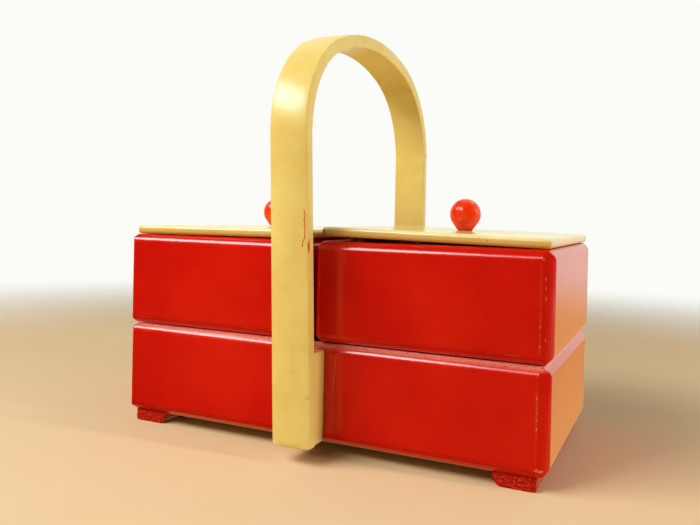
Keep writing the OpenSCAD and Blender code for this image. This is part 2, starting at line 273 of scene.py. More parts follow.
def from_arris(p, shell):
    """Distance in mm from the nearest upright and the nearest level arris of a bevelled box."""
    low, high = shell.low / MM, shell.high / MM
    mid = (low + high) / 2
    half = (high - low) / 2
    over_x = p.math("GREATER_THAN", p.x, mid.x)
    over_z = p.math("GREATER_THAN", p.z, mid.z)
    corner = p.add(shell.left, p.times(over_x, shell.right - shell.left))
    edge = p.add(shell.below, p.times(over_z, shell.above - shell.below))
    in_x = p.sub(half.x, p.math("ABSOLUTE", p.sub(p.x, mid.x)))
    in_y = p.sub(half.y, p.math("ABSOLUTE", p.sub(p.y, mid.y)))
    in_z = p.sub(half.z, p.math("ABSOLUTE", p.sub(p.z, mid.z)))
    side = p.least(in_x, in_y)
    upright = p.least(
        p.length(p.sub(in_x, corner), in_y),
        p.length(in_x, p.sub(in_y, corner)))
    level = p.least(
        p.length(p.sub(in_z, edge), side),
        p.length(in_z, p.sub(side, edge)))
    return upright, level


RED_DEEP = (0.55, 0.0040, 0.0002)
RED_LIGHT = (0.65, 0.0090, 0.0004)
RED_THIN = (0.74, 0.09, 0.010)
# Pale scuffing that also serves as a painted highlight along the lower box's rim
RED_SCUFF_AND_SHEEN = (0.84, 0.36, 0.24)
RED_PALE_LINE = (0.85, 0.20, 0.10)
RED_DARK_LINE = (0.22, 0.005, 0.001)
RED_DUST = (0.85, 0.28, 0.16)
RED_PIN_HOLE = (0.18, 0.0, 0.0)
WOOD_CHIP = (0.72, 0.24, 0.045)

# Rubs and scratches on the red: (point, half its height, half its width), in mm
RUBS = {
    "base": [((173, -94.6, 91.5), 1.0, 0.8), ((172, -95.4, 82), 1.2, 0.7),
             ((171.7, -95.5, 65), 0.8, 0.5), ((172.1, -95.4, 55), 0.7, 0.5),
             ((172, -95.4, 50), 0.9, 0.4), ((172, -95.4, 44.5), 1.2, 0.5),
             ((172.4, -94.8, 17), 1.1, 1.5), ((174.8, -92.5, 15.8), 0.9, 2.4)],
    "right_tray": [((174, -94.5, 157.3), 0.9, 0.9), ((175.4, -93.1, 144), 1.6, 0.35),
                   ((175.6, -92.9, 138), 1.3, 0.35), ((175.8, -92.7, 131), 1.5, 0.4),
                   ((176, -92.5, 103.5), 0.8, 0.4)],
    "left_tray": [],
}

# Hairlines on the lower box, in mm: the pale one on its front as (height, X) and the dark one
# on its right end as (height, Y). Between the two values of Y, or of X, each is faded in, which
# keeps it on its own face.
PALE_SCRATCH = [(77, 22.9), (59, 21.5), (50.5, 20.7)]
DARK_SCRATCH = [(59.5, -29.6), (48, -28.2), (37.5, -26)]
FRONT_FACE_Y = (-90, -93)
RIGHT_END_X = (178, 179)
# How far down from the lower box's rim the trays' scuffing and the painted highlight reach
SCUFF_AND_SHEEN_REACH = 5.2


def hairline(p, across, stops, width, seed):
    """A ragged line through stops, given as (height, place across) in mm."""
    low, high = stops[-1][0], stops[0][0]
    first = min(a for _, a in stops) - 1
    span = max(a for _, a in stops) + 1 - first
    places = [(z, (a - first) / span) for z, a in reversed(stops)]
    line = p.add(first, p.times(p.along(p.z, low, high, places), span))
    wobble = p.times(p.sub(p.noise(2.2, 2, 0.6, shift=seed), 0.5), 0.9)
    off = p.math("ABSOLUTE", p.sub(p.add(across, wobble), line))
    ragged = p.times(p.noise(1.4, 2, 0.6, shift=seed + 2), 2 * width)
    inside = p.times(p.ramp(p.z, low - 0.6, low + 0.4), p.ramp(p.z, high + 0.6, high - 0.4))
    return p.times(p.ramp(off, ragged, p.times(ragged, 0.45)), inside)


def red_paint(name, shell, rubs, lower_box=False):
    """Glossy red enamel on one box, worn along its arrises."""
    p = Paint(name)
    upright, level = from_arris(p, shell)
    blotch = p.noise(60, 2)
    streak = p.noise(1.6, 3, 0.6, stretch=(18, 18, 1))
    tone = p.add(p.times(blotch, 0.82), p.times(streak, 0.18))
    colour = p.mix(p.ramp(tone, 0.3, 0.7), RED_DEEP, RED_LIGHT)

    # Thin paint along the arrises shows more orange
    grit = p.noise(0.9, 3, 0.7)
    patch = p.noise(13, 2, 0.5, shift=4)
    edge = p.least(upright, level)
    worn = p.ramp(p.add(p.times(patch, 0.7), p.times(grit, 0.4)), 0.5, 0.75)
    thin = p.times(p.ramp(edge, 1.5, 0.2), worn)
    colour = p.mix(p.times(thin, 0.5), colour, RED_THIN)

    # Rubbed through in fine dashes
    dash = p.noise(1.1, 2, 0.6, stretch=(1, 1, 3), shift=9)
    along_corner = p.times(
        p.ramp(upright, 0.6, 0.2), p.ramp(dash, 0.62, 0.67), p.ramp(patch, 0.46, 0.58))
    along_level = p.times(
        p.ramp(level, 0.5, 0.2), p.ramp(grit, 0.70, 0.76), p.ramp(patch, 0.52, 0.62))
    bare = p.most(along_corner, along_level, *[p.dash(*rub, grit) for rub in rubs])
    colour = p.mix(p.times(bare, 0.75), colour, WOOD_CHIP)

    if lower_box:
        # The swinging trays have scuffed the rim, drawn as a pale band that is also a painted
        # highlight, and two hairlines run down the faces
        under_rim = p.sub(shell.high.z / MM, p.z)
        mottle = p.noise(1.3, 3, 0.65, shift=14)
        scuff_and_sheen = p.times(p.ramp(under_rim, SCUFF_AND_SHEEN_REACH, 0.2), p.ramp(mottle, 0.25, 0.60))
        colour = p.mix(p.times(scuff_and_sheen, 0.70), colour, RED_SCUFF_AND_SHEEN)
        front = p.ramp(p.y, *FRONT_FACE_Y)
        right = p.ramp(p.x, *RIGHT_END_X)
        pale = p.times(hairline(p, p.x, PALE_SCRATCH, 0.35, 3), front)
        dark = p.times(hairline(p, p.y, DARK_SCRATCH, 0.45, 6), right)
        colour = p.mix(p.times(pale, 0.5), colour, RED_PALE_LINE)
        colour = p.mix(p.times(dark, 0.6), colour, RED_DARK_LINE)

    # Dust in the paint, pale dots and dark pin holes
    dots = p.specks(5.5, 0.15, radius=0.05)
    holes = p.specks(7.0, 0.18, shift=11, radius=0.045)
    colour = p.mix(p.times(dots, 0.45), colour, RED_DUST)
    colour = p.mix(p.times(holes, 0.6), colour, RED_PIN_HOLE)

    peel = p.noise(3.2, 3, 0.5)
    grain = p.noise(0.9, 3, 0.6, stretch=(16, 16, 1), shift=2)
    height = p.add(
        p.times(peel, 0.025), p.times(grain, 0.010), p.times(dots, 0.04),
        p.times(holes, -0.05), p.times(bare, -0.10))
    roughness = p.add(0.12, p.times(blotch, 0.06), p.times(bare, 0.3), p.times(grit, 0.04))
    return p.finish(colour, height, roughness)


SAWN_DEEP = (0.20, 0.0010, 0.0003)
SAWN_LIGHT = (0.66, 0.011, 0.0008)
SAWN_FLECK = (0.86, 0.11, 0.008)
SAWN_CHIP = (0.84, 0.30, 0.04)


def sawn_red(name):
    """Red paint soaked into rough sawn end grain, on the runners."""
    p = Paint(name)
    pores = p.noise(0.8, 4, 0.7, stretch=(1, 4, 1))
    streak = p.noise(1.5, 3, 0.6, stretch=(2.2, 3, 1), shift=3)
    slant = p.add(p.times(p.x, 0.55), p.z, p.times(p.noise(5, 2, shift=2), 4))
    saw = p.math("SINE", p.times(slant, 3.4))
    dark = p.add(p.times(pores, 0.7), p.times(streak, 0.3), p.times(saw, 0.06))
    colour = p.mix(p.ramp(dark, 0.38, 0.58), SAWN_DEEP, SAWN_LIGHT)
    fleck = p.ramp(p.add(p.times(pores, 0.55), p.times(streak, 0.5)), 0.56, 0.66)
    colour = p.mix(p.times(fleck, 0.7), colour, SAWN_FLECK)
    chips = p.specks(3.1, 0.3, shift=5, radius=0.2)
    colour = p.mix(p.times(chips, 0.55), colour, SAWN_CHIP)
    height = p.add(p.times(pores, 0.35), p.times(streak, 0.25), p.times(saw, 0.05))
    return p.finish(colour, height, 0.45, specular=0.15)


# Cream enamel: its lighter and its deeper tone
CREAM_HANDLE = (0.83, 0.63, 0.175), (0.77, 0.55, 0.130)
CREAM_LID = (0.90, 0.75, 0.34), (0.84, 0.66, 0.25)
CREAM_DIRT = (0.22, 0.13, 0.03)
CREAM_GRIME = (0.42, 0.27, 0.08)


def cream_paint(name, tones, roughness, wear_and_shade):
    """Cream enamel, slightly yellowed. The last argument adds the piece's own marks, and on the
    lids painted shade as well.
    """
    p = Paint(name)
    light, deep = tones
    blotch = p.noise(42, 2, 0.5)
    cloud = p.noise(9, 3, 0.55, shift=12)
    tone = p.add(p.times(blotch, 0.7), p.times(cloud, 0.3))
    colour = p.mix(p.ramp(tone, 0.32, 0.68), deep, light)
    darkening = p.specks(7.0, 0.14, shift=7, radius=0.04)
    colour = p.mix(p.times(darkening, 0.7), colour, CREAM_DIRT)
    grime = p.ramp(p.noise(9, 4, 0.7, shift=6), 0.55, 0.80)
    colour = p.mix(p.times(grime, 0.06), colour, CREAM_GRIME)
    peel = p.noise(4.5, 3, 0.5, stretch=(1, 1, 1.6))
    height = p.add(p.times(peel, 0.05), p.times(darkening, -0.04))
    colour, height = wear_and_shade(p, colour, height)
    rough = p.add(roughness, p.times(blotch, 0.06), p.times(darkening, 0.2))
    return p.finish(colour, height, rough)


# Red scratches on the front leg, as (height, X) in mm. They fade in between these Y, which
# keeps them on its outer face.
LONG_SCRATCH = [(187, 8.6), (182.4, 9.4), (179.5, 9.0), (175.2, 9.4), (172.3, 9.6),
                (166.5, 9.6), (164.3, 8.5), (160, 7.8)]
SHORT_SCRATCH = [(167.3, 12.1), (161.5, 11.8), (155.7, 12.3)]
LEG_FACE_Y = (-119.5, -121)
SCRATCH_RED = (0.66, 0.035, 0.004)

# Other marks on the handle: place and radius in mm
GREY_SCUFF = (11.6, -123, 179), 10
CRUMBLED_PAINT = (13.2, -121.5, 151.5), 5.5
FILLED_HOLE = (2.5, -125.2, 68.3), 4.2
DARK_SPOT = (-15.2, -124.6, 278.8), 1.1
DENT = (9.1, -112.5, 283.9), 3.2
CHIPPED_ARRIS = (14.6, -123.3, 49.8), 2.2
# Place, half the height and half the width in mm, on the back leg
GOLDEN_STREAK = (-4.5, 114, 196), 10, 0.8


def handle_wear(p, colour, height):
    front = p.ramp(p.y, *LEG_FACE_Y)
    marks = p.times(front, p.most(
        hairline(p, p.x, LONG_SCRATCH, 0.5, 1), hairline(p, p.x, SHORT_SCRATCH, 0.3, 5)))
    colour = p.mix(p.times(marks, 0.92), colour, SCRATCH_RED)
    scuff = p.times(p.near(*GREY_SCUFF), p.specks(1.3, 0.5, shift=3, radius=0.24))
    colour = p.mix(p.times(scuff, 0.6), colour, (0.42, 0.33, 0.17))
    patch = p.near(*CRUMBLED_PAINT)
    crumbs = p.noise(0.9, 3, 0.75, shift=8)
    colour = p.mix(p.times(p.ramp(patch, 0.2, 0.6), p.ramp(crumbs, 0.52, 0.6), 0.8),
                   colour, (0.88, 0.66, 0.30))
    colour = p.mix(p.times(p.ramp(patch, 0.1, 0.6), p.ramp(crumbs, 0.44, 0.36), 0.6),
                   colour, (0.46, 0.24, 0.07))
    colour = p.mix(p.times(p.near(*FILLED_HOLE), 0.28), colour, (0.70, 0.40, 0.09))
    streak = p.dash(*GOLDEN_STREAK, crumbs)
    colour = p.mix(p.times(streak, 0.5), colour, (0.84, 0.52, 0.07))
    colour = p.mix(p.times(p.near(*DARK_SPOT), 0.8), colour, (0.30, 0.17, 0.05))
    height = p.add(
        height, p.times(marks, -0.10), p.times(patch, crumbs, 0.4),
        p.times(p.near(*DENT), -0.8), p.times(p.near(*CHIPPED_ARRIS), -0.6))
    return colour, height


# Painted shade on the lids' edges that face sideways or down
LID_EDGE_SHADE = (0.62, 0.30, 0.040)
# Painted shadow of the handle's leg on the right lid's edge
LID_LEG_SHADOW = (0.30, 0.15, 0.025)
# Pits in the right lid's front edge, and its worn corner beside the handle: place, radius in mm
LID_PITS = [((135.3, -92, 168.4), 0.9), ((129.2, -92, 169.7), 0.9)]
WORN_LID_CORNER = (7.2, -91.6, 170), 6
# The painted shadow of the handle's leg on the right lid's edge starts at its left end and fades
# between these X
LEG_SHADOW_STARTS_X = (1, 3)
LEG_SHADOW_FADES_X = (34, 8)


def lid_wear_and_shade(p, colour, height):
    # Painted shade: edges that face sideways or down are darkened, and a painted shadow of the
    # handle's leg darkens the right lid's edge beside it
    edge = p.ramp(p.facing_up(), 0.8, -0.35)
    colour = p.mix(p.times(edge, 0.85), colour, LID_EDGE_SHADE)
    # Painted shadow of the handle's leg, on the right lid's edge near the handle
    leg_shadow = p.times(edge, p.ramp(p.x, *LEG_SHADOW_FADES_X), p.ramp(p.x, *LEG_SHADOW_STARTS_X))
    colour = p.mix(p.times(leg_shadow, 0.6), colour, LID_LEG_SHADOW)
    for pit in LID_PITS:
        colour = p.mix(p.times(p.near(*pit), 0.8), colour, (0.25, 0.08, 0.01))
    grit = p.noise(0.9, 3, 0.7)
    worn = p.times(p.ramp(p.near(*WORN_LID_CORNER), 0.25, 0.7), p.ramp(grit, 0.42, 0.52))
    colour = p.mix(p.times(worn, 0.8), colour, (0.16, 0.05, 0.01))
    return colour, height


ORANGE_DEEP = (0.85, 0.020, 0.0003)
ORANGE_LIGHT = (0.97, 0.065, 0.001)
# Painted shade round a knob's foot, under its ball, is full at the second height and gone at the
# first, in mm
KNOB_SHADE_Z = (177.5, 173.5)


def lacquer(name):
    """Orange-red lacquer over turned wood."""
    p = Paint(name)
    turned = p.noise(1.1, 3, 0.6, stretch=(9, 9, 1))
    blotch = p.noise(7, 2, 0.5)
    tone = p.add(p.times(turned, 0.35), p.times(blotch, 0.65))
    colour = p.mix(p.ramp(tone, 0.3, 0.7), ORANGE_DEEP, ORANGE_LIGHT)
    dots = p.specks(3.0, 0.22, radius=0.08)
    colour = p.mix(p.times(dots, 0.35), colour, (0.90, 0.34, 0.08))
    # Painted shade: the knob darkens towards its foot, under the ball
    darkening = p.ramp(p.z, *KNOB_SHADE_Z)
    colour = p.mix(p.times(darkening, 0.55), colour, (0.30, 0.012, 0.001))
    height = p.add(p.times(turned, 0.02), p.times(blotch, 0.08), p.times(dots, 0.02))
    return p.finish(colour, height, 0.2, specular=0.45)


# How far bare wood is drawn out along its grain
GRAIN = {"x": (26, 1, 1), "y": (1, 26, 1), "z": (1, 1, 26)}


def bare_wood(name, along):
    """Pale unpainted wood with its grain along an axis."""
    p = Paint(name)
    wave = p.noise(4.2, 4, 0.6, stretch=GRAIN[along])
    pores = p.noise(0.5, 2, 0.6, stretch=GRAIN[along], shift=5)
    blotch = p.noise(45, 2, 0.5)
    colour = p.mix(p.ramp(wave, 0.35, 0.68), (0.64, 0.44, 0.24), (0.80, 0.62, 0.39))
    colour = p.mix(p.times(p.ramp(pores, 0.60, 0.72), 0.45), colour, (0.40, 0.24, 0.11))
    colour = p.mix(p.times(blotch, 0.25), colour, (0.60, 0.40, 0.21))
    height = p.add(p.times(wave, 0.05), p.times(pores, -0.05))
    roughness = p.add(0.55, p.times(wave, 0.15))
    return p.finish(colour, height, roughness, specular=0.3)


def steel(name):
    """Zinc-coated steel, a little dull."""
    p = Paint(name)
    cloud = p.noise(3.0, 3, 0.6)
    brushed = p.noise(0.25, 2, 0.6, stretch=(6, 6, 1))
    colour = p.mix(cloud, (0.46, 0.46, 0.47), (0.68, 0.68, 0.67))
    roughness = p.add(0.24, p.times(cloud, 0.18))
    return p.finish(colour, p.times(brushed, 0.02), roughness, metallic=1.0)


# Meshes

def new_piece(name, mesh_maker, body, slot, materials, *nodes):
    """A piece made by mesh_maker(bmesh) that rides a body and stands for CAD nodes."""
    bm = bmesh.new()
    mesh_maker(bm)
    mesh = bpy.data.meshes.new(name)
    bmesh.ops.recalc_face_normals(bm, faces=bm.faces)
    bm.to_mesh(mesh)
    bm.free()
    for material in materials:
        mesh.materials.append(material)
    piece = bpy.data.objects.new(name, mesh)
    scene.collection.objects.link(piece)
    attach(piece, body)
    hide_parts(*nodes)
    return piece


def smooth(piece, degrees):
    piece.data.shade_smooth()
    piece.data.set_sharp_from_angle(angle=math.radians(degrees))


def add_bevel(piece, width, segments, **settings):
    made = piece.modifiers.new("softened arrises", "BEVEL")
    made.width = width
    made.segments = segments
    made.harden_normals = True
    for key, value in settings.items():
        setattr(made, key, value)


def corners_of(names):
    """Lowest and highest corner of several CAD nodes together."""
    boxes = [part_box(n) for n in names]
    low = Vector([min(b[0][i] for b in boxes) for i in range(3)])
    high = Vector([max(b[1][i] for b in boxes) for i in range(3)])
    return low, high


def shell_depth(face, shell):
    """How far a face lies under the bevelled box's shell, or a large number if it is turned in."""
    n = face.normal
    mid = (shell.low + shell.high) / 2
    half = (shell.high - shell.low) / 2
    reach = sum(abs(n[i]) * half[i] for i in range(3))
    if sorted(abs(c) for c in n)[1] > 0.5:
        if abs(n.z) < 0.1:
            reach -= (shell.right if n.x > 0 else shell.left) * MM * abs(n.x)
        else:
            reach -= (shell.above if n.z > 0 else shell.below) * MM * abs(n.z)
    return reach - n.dot(face.calc_center_median() - mid)


# How far the softening reaches from an arris. The widest is between a face and its bevel.
ROUND_LEVEL = 3.0 * MM
ROUND_FLAT = 1.0 * MM
ROUND_SLANTED = 0.9 * MM
ROUND_UPRIGHT = 0.7 * MM
ROUND_RIM = 0.8 * MM


def soften_board(node, shell, slot, materials):
    """A copy of a board with softened outer arrises and rim, painted outside and bare inside."""
    source = NODES[node]

    def reach(edge):
        line = (edge.verts[0].co - edge.verts[1].co).normalized()
        if abs(line.z) > 0.9:
            return ROUND_UPRIGHT
        if abs(line.z) > 0.1:
            return ROUND_SLANTED
        on_flat = any(abs(face.normal.z) > 0.9 for face in edge.link_faces)
        return ROUND_FLAT if on_flat else ROUND_LEVEL

    def make(bm):
        bm.from_mesh(source.data)
        bmesh.ops.remove_doubles(bm, verts=bm.verts, dist=0.00002)
        bmesh.ops.dissolve_limit(
            bm, angle_limit=math.radians(1), verts=bm.verts, edges=bm.edges)
        weights = bm.edges.layers.float.new("bevel_weight_edge")
        outside = {f: abs(shell_depth(f, shell)) < 0.00005 for f in bm.faces}
        for face in bm.faces:
            face.material_index = 0 if outside[face] else 1
            face.smooth = True
        for edge in bm.edges:
            if len(edge.link_faces) != 2:
                continue
            first, second = edge.link_faces
            turn = first.normal.angle(second.normal, 0)
            edge.smooth = turn < math.radians(20)
            if outside[first] and outside[second] and turn > math.radians(10):
                edge[weights] = reach(edge) / ROUND_LEVEL
                edge.smooth = True
            elif outside[first] != outside[second]:
                outer, inner = (first, second) if outside[first] else (second, first)
                inward = (shell.low + shell.high) / 2 - inner.calc_center_median()
                faces_in = inner.normal.dot(Vector((inward.x, inward.y, 0))) > 0.001
                if outer.normal.z > 0.9 and abs(inner.normal.z) < 0.1 and faces_in \
                        and inner.calc_area() > 0.001:
                    edge[weights] = ROUND_RIM / ROUND_LEVEL
                    edge.smooth = True

    body = source["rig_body"]
    piece = new_piece(node + "_painted", make, body, slot, materials, node)
    add_bevel(piece, ROUND_LEVEL, 5, limit_method="WEIGHT", offset_type="OFFSET",
              use_clamp_overlap=False)
    return piece


def loft(bm, rings):
    """Faces between rings of points with the same count, and a face on each end."""
    rows = [[bm.verts.new(point) for point in ring] for ring in rings]
    count = len(rows[0])
    for below, above in zip(rows, rows[1:]):
        for k in range(count):
            bm.faces.new((below[k], below[(k + 1) % count], above[(k + 1) % count], above[k]))
    bm.faces.new(rows[0])
    bm.faces.new(rows[-1])


def arc(centre, radius, start, end, steps):
    """Points of an arc in a plane, angles in degrees."""
    points = []
    for i in range(steps + 1):
        a = math.radians(start + (end - start) * i / steps)
        points.append((centre[0] + radius * math.cos(a), centre[1] + radius * math.sin(a)))
    return points


# The handle

LEG_OUT = -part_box("handle_bow")[0].y
HANDLE_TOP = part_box("handle_bow")[1].z
HANDLE_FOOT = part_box("handle_bow")[0].z
CROWN = 2.3 * MM
CROWN_POWER = 2.4
EDGE_ROUND = 1.1 * MM
# The bend has pulled the crown nearly flat at the top of the bow
CROWN_LEFT_ON_TOP = 0.25


def strip_section(crown):
    """The strip's section as (across, depth under the outer line)."""
    half = STRIP_W / 2
    flat = half - EDGE_ROUND
    inner_round = 1.1 * MM
    depth = crown * (flat / half) ** CROWN_POWER
    slope = math.atan(crown * CROWN_POWER / half * (flat / half) ** (CROWN_POWER - 1))
    outer_round = (half - flat) / (1 - math.sin(slope))
    shoulder = depth + outer_round * math.cos(slope)
    start = 90 - math.degrees(slope)
    edge = [(x, shoulder - y) for x, y in arc((half - outer_round, 0), outer_round, start, 0, 6)]
    steps = 16
    points = []
    for i in range(1, steps):
        across = -flat + 2 * flat * i / steps
        points.append((across, crown * (abs(across) / half) ** CROWN_POWER))
    points += edge
    points += [(half, STRIP_T * 0.6)]
    inner = (half - inner_round, 0)
    points += [(x, STRIP_T - inner_round - y) for x, y in arc(inner, inner_round, 0, -90, 4)]
    points += [(0.0, STRIP_T)]
    inner = (inner_round - half, 0)
    points += [(x, STRIP_T - inner_round - y) for x, y in arc(inner, inner_round, -90, -180, 4)]
    points += [(-half, STRIP_T * 0.6)]
    points += [(-x, y) for x, y in reversed(edge)]
    return points


def bow_line(leg_step, bend_step):
    """Stations along the bow's outer line, front foot to back foot: (y, z, outward normal)."""
    rise = HANDLE_TOP - SPRING_Z
    bend_y = LEG_OUT - BEND_R
    top_r = (bend_y ** 2 + rise ** 2 - BEND_R ** 2) / (2 * (rise - BEND_R))
    top_half = math.atan2(bend_y, top_r - rise)
    half = []
    legs = round((SPRING_Z - HANDLE_FOOT) / leg_step)
    for i in range(legs):
        half.append((-LEG_OUT, HANDLE_FOOT + (SPRING_Z - HANDLE_FOOT) * i / legs, 0.0))
    bends = round(BEND_R * (math.pi / 2 - top_half) / bend_step)
    for i in range(bends):
        a = (math.pi / 2 - top_half) * i / bends
        half.append((-bend_y - BEND_R * math.cos(a), SPRING_Z + BEND_R * math.sin(a), a))
    tops = round(top_r * top_half / bend_step)
    for i in range(tops + 1):
        a = math.pi / 2 - top_half + top_half * i / tops
        half.append((-top_r * math.cos(a), HANDLE_TOP - top_r + top_r * math.sin(a), a))
    return half + [(-y, z, math.pi - a) for y, z, a in reversed(half[:-1])]


def sway(y, z):
    """How far sideways the strip has moved, as in part.scad."""
    share = (y + LEG_OUT) / (2 * LEG_OUT)
    lean = FRONT_LEAN + (BACK_LEAN - FRONT_LEAN) * share
    return -(z - LEAN_Z) * math.tan(math.radians(lean))


def handle_mesh(bm):
    stations = bow_line(5 * MM, 2.5 * MM)
    foot_round = 0.8 * MM
    rings = []
    for y, z, a in stations:
        outward = Vector((0, -math.cos(a), math.sin(a)))
        risen = min(1, max(0, (z - SPRING_Z) / (HANDLE_TOP - SPRING_Z)))
        ring = []
        for across, depth in strip_section(CROWN * (1 - risen * (1 - CROWN_LEFT_ON_TOP))):
            point = Vector((across, y, z)) - outward * depth
            # The strip was bent and planed by hand, so its faces waver by a tenth or two
            waver = noise.noise(point * 22 + Vector((3, 1, 7))) * 0.22 * MM
            inward = 1 if abs(across) < STRIP_W * 0.3 else 0.4
            point.x += waver * (1 if across > 0 else -1) * min(1, abs(across) / (STRIP_W / 2))
            point -= outward * (abs(waver) * inward if 0.1 * MM < depth < STRIP_T * 0.9 else 0)
            point.x += sway(y, z)
            ring.append(point)
        rings.append(ring)

    def foot(ring, z_full):
        """An end ring drawn in a little, so the strip's end has a soft edge."""
        centre = sum(ring, Vector()) / len(ring)
        drawn = [centre + (point - centre) * (1 - foot_round / (STRIP_T / 2)) for point in ring]
        for point in drawn:
            point.z = z_full
        return drawn

    first = foot(rings[0], HANDLE_FOOT)
    last = foot(rings[-1], HANDLE_FOOT)
    for ring in (rings[0], rings[-1]):
        for point in ring:
            point.z += foot_round
    loft(bm, [first] + rings + [last])


# Lids

RIGHT_TRAY = corners_of(["right_tray_inner_end", "right_tray_outer_end"])
LID_LEN = RIGHT_TRAY[1].x - RIGHT_TRAY[0].x - 2 * LID_INSET
LID_HALF = -corners_of(["right_tray_front_board"])[0].y - LID_INSET


def lid_frame(side):
    """The matrix that carries a flat lid, outer lower edge on the origin, to its place."""
    tray = corners_of([("right" if side > 0 else "left") + "_tray_outer_end"])
    shift = RIGHT_LID_SHIFT if side > 0 else -LEFT_LID_SHIFT
    out = (tray[1].x if side > 0 else -tray[0].x) - LID_INSET + shift
    tilt = RIGHT_LID_TILT if side > 0 else LEFT_LID_TILT
    turn = Matrix.Rotation(0 if side > 0 else math.pi, 4, "Z")
    move = Matrix.Translation((out, 0, tray[1].z + REST_GAP))
    return turn @ move @ Matrix.Rotation(math.radians(tilt), 4, "Y")


def lid_ring(inset, z):
    """A square ring round the lid, with many points so that its edge can waver."""
    x0, x1 = -LID_LEN + inset, -inset
    y0, y1 = -LID_HALF + inset, LID_HALF - inset
    corner = max(1.0 * MM - inset, 0.1 * MM)
    points = []
    for cx, cy, start in ((x1 - corner, y0 + corner, -90), (x1 - corner, y1 - corner, 0),
                          (x0 + corner, y1 - corner, 90), (x0 + corner, y0 + corner, 180)):
        points += arc((cx, cy), corner, start, start + 90, 3)
    full = []
    for k, (x, y) in enumerate(points):
        nx, ny = points[(k + 1) % len(points)]
        steps = 24 if math.hypot(nx - x, ny - y) > 0.1 else 1
        for s in range(steps):
            full.append(Vector((x + (nx - x) * s / steps, y + (ny - y) * s / steps, z)))
    return full


def lid_mesh(side):
    place = lid_frame(side)

    def make(bm):
        round_top, round_low = 2.9 * MM, 2.6 * MM
        flat_inset, beside_round = 9 * MM, 0.6 * MM
        profile = [(flat_inset, 0.0), (round_low + beside_round, 0.0)]
        profile += [(round_low - x, round_low - y)
                    for x, y in arc((0, 0), round_low, 90, 0, 6)]
        profile += [(round_top - x, LID_T - round_top + y)
                    for x, y in arc((0, 0), round_top, 0, 90, 7)]
        profile += [(round_top + beside_round, LID_T), (flat_inset, LID_T)]
        rings = []
        for inset, z in profile:
            ring = lid_ring(inset, z)
            for point in ring:
                waver = noise.noise(Vector((point.x, point.y, side * 0.3)) * 30)
                worn = max(0.0, noise.noise(Vector((point.x, point.y, side)) * 75) - 0.25)
                if inset < 3 * MM:
                    point.z -= (abs(waver) * 0.12 + worn * 0.5) * MM * (z / LID_T)
            rings.append([place @ point for point in ring])
        loft(bm, rings)

    return make


# Knobs

def knob_mesh(side):
    place = lid_frame(side) @ Matrix.Translation((-LID_LEN / 2, 0, LID_T))

    def make(bm):
        radius, foot = KNOB_D / 2, KNOB_FOOT_D / 2
        centre = KNOB_H - radius
        reach = math.hypot(centre, foot)
        touch = math.degrees(math.atan2(foot, centre) + math.acos(radius / reach))
        soft = 0.35 * MM
        profile = [(0.05 * MM, 0.05 * MM), (foot - soft, 0.05 * MM), (foot, soft)]
        first = Vector((foot, soft))
        last = Vector(arc((0, centre), radius, touch - 90, touch - 90, 1)[0])
        profile += [tuple(first.lerp(last, k / 5)) for k in range(1, 5)]
        profile += arc((0, centre), radius, touch - 90, 89.5, 40)
        steps = 112
        rings = []
        for r, z in profile:
            ring = []
            for k in range(steps):
                a = 2 * math.pi * k / steps
                point = Vector((r * math.cos(a), r * math.sin(a), z))
                dent = noise.noise(point * 110 + Vector((side * 4, 2, 1))) * 0.10 * MM
                if z > 2 * MM:
                    point -= Vector((math.cos(a), math.sin(a), 0)) * abs(dent)
                ring.append(place @ point)
            rings.append(ring)
        loft(bm, rings)

    return make


# Runners

def runner_mesh(node):
    low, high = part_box(node)
    side = 1 if low.x > 0 else -1
    mid = (low.x + high.x) / 2
    half = (high.x - low.x) / 2
    columns, rows = 46, 18
    outer_round = 1.8 * MM

    def underside(across):
        """Height of the runner's underside; across runs from its inner to its outer face."""
        from_inner, from_outer = half + across, half - across
        if from_inner < RUNNER_ROUND:
            lift = RUNNER_ROUND - from_inner
            return RUNNER_ROUND - math.sqrt(max(0, RUNNER_ROUND ** 2 - lift ** 2))
        if from_outer < outer_round:
            lift = outer_round - from_outer
            return outer_round - math.sqrt(max(0, outer_round ** 2 - lift ** 2))
        return 0.0

    def end_grid(y, inward):
        grid = []
        for i in range(columns + 1):
            across = -half + 2 * half * i / columns
            base = underside(across)
            column = []
            for j in range(rows + 1):
                z = base + (high.z - base) * j / rows
                point = Vector((mid + side * across, y, z))
                rough = noise.fractal(point * 420, 0.8, 2.1, 4)
                saw = math.sin((across * 0.7 + z) / (1.3 * MM)) * 0.10
                point.y += inward * (0.45 + 0.38 * rough + saw) * MM
                point.z += 0 if j in (0, rows) else noise.noise(point * 300) * 0.2 * MM
                column.append(point)
            grid.append(column)
        return grid

    def make(bm):
        ends = []
        for y, inward in ((low.y, 1), (high.y, -1)):
            grid = [[bm.verts.new(point) for point in column] for column in end_grid(y, inward)]
            for i in range(columns):
                for j in range(rows):
                    bm.faces.new((grid[i][j], grid[i + 1][j], grid[i + 1][j + 1], grid[i][j + 1]))
            edge = [column[0] for column in grid] + grid[-1][1:]
            edge += [column[-1] for column in reversed(grid[:-1])] + grid[0][-2:0:-1]
            ends.append(edge)
        steps = 40
        rows_between = [ends[0]]
        for s in range(1, steps):
            row = []
            for a, b in zip(*ends):
                point = a.co.lerp(b.co, s / steps)
                point.y = low.y + (high.y - low.y) * s / steps
                row.append(bm.verts.new(point))
            rows_between.append(row)
        rows_between.append(ends[1])
        count = len(ends[0])
        for near, far in zip(rows_between, rows_between[1:]):
            for k in range(count):
                bm.faces.new((near[k], near[(k + 1) % count], far[(k + 1) % count], far[k]))

    return make


# Spacers

